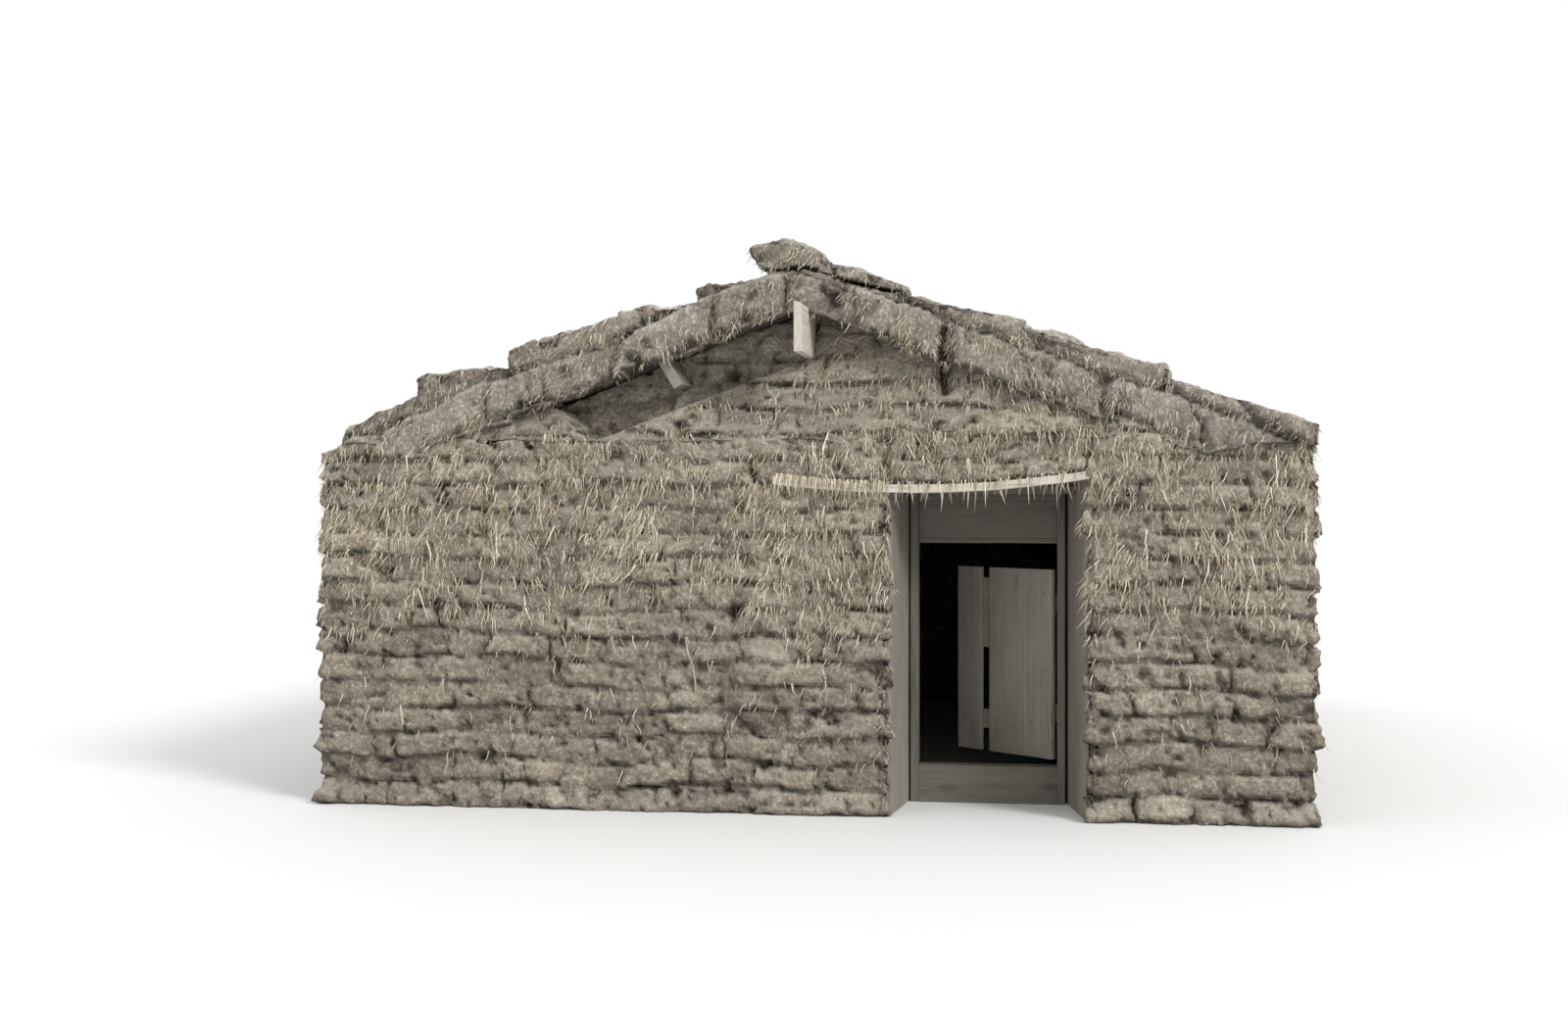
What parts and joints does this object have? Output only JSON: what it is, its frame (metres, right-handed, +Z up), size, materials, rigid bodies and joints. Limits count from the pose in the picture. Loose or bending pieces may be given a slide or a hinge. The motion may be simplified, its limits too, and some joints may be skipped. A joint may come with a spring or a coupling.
{
  "type": "turf house",
  "caption": "Small gabled house of stacked prairie sods, with thick walls, a board roof covered in sods, and a low boarded door that swings inward.",
  "frame": {"origin": "on the ground, at the middle of the house's plan", "axes": "+Z up, -Y out of the doorway gable, +X to the right of someone who faces it"},
  "size_m": [4.92, 6.6, 2.8134],
  "materials": {
    "wall_sod": "matt earth with dry grass",
    "roof_sod": "matt weathered earth with dry grass",
    "pale_board": "bleached, rough sawn",
    "grey_board": "weathered grey, rough sawn",
    "door_board": "weathered grey, planed",
    "iron": "rusted"
  },
  "bodies": {
    "house": {"front_wall_left": "wall_sod", "front_wall_right": "wall_sod", "front_wall_over_door": "wall_sod", "front_gable_left": "wall_sod", "front_gable_right": "wall_sod", "left_wall": "wall_sod", "right_wall": "wall_sod", "back_wall": "wall_sod", "back_gable": "wall_sod", "front_gable_fill": "wall_sod", "roof_sods_left_1": "roof_sod", "roof_sods_left_2": "roof_sod", "roof_sods_left_3": "roof_sod", "roof_sods_left_4": "roof_sod", "roof_sods_right_1": "roof_sod", "roof_sods_right_2": "roof_sod", "roof_sods_right_3": "roof_sod", "ridge_sods": "roof_sod", "ridge_cap_sods": "roof_sod", "ridge_shoulder_sods": "roof_sod", "ridge_board": "pale_board", "door_lintel": "pale_board", "purlin_left": "grey_board", "purlin_right": "grey_board", "roof_boards_left": "grey_board", "roof_boards_right": "grey_board", "door_inner_lintel": "grey_board", "reveal_plank_left": "grey_board", "reveal_plank_right": "grey_board", "door_post_left": "grey_board", "door_post_right": "grey_board", "door_head": "grey_board", "door_sill": "grey_board", "transom_board": "grey_board", "transom_rail": "grey_board", "hinge_plates": "iron"},
    "door": {"door_board_hinge_side": "door_board", "door_board_middle": "door_board", "door_board_free_side": "door_board", "door_ledge_top": "door_board", "door_ledge_bottom": "door_board", "door_patch": "door_board", "hinge_straps": "iron"}
  },
  "joints": [
    {"name": "door_hinge", "type": "hinge", "parent": "house", "child": "door", "pos_m": [1.24, -2.4435, 0.7], "axis": [0, 0, -1], "range_deg": [-42.5, 92.5]}
  ]
}
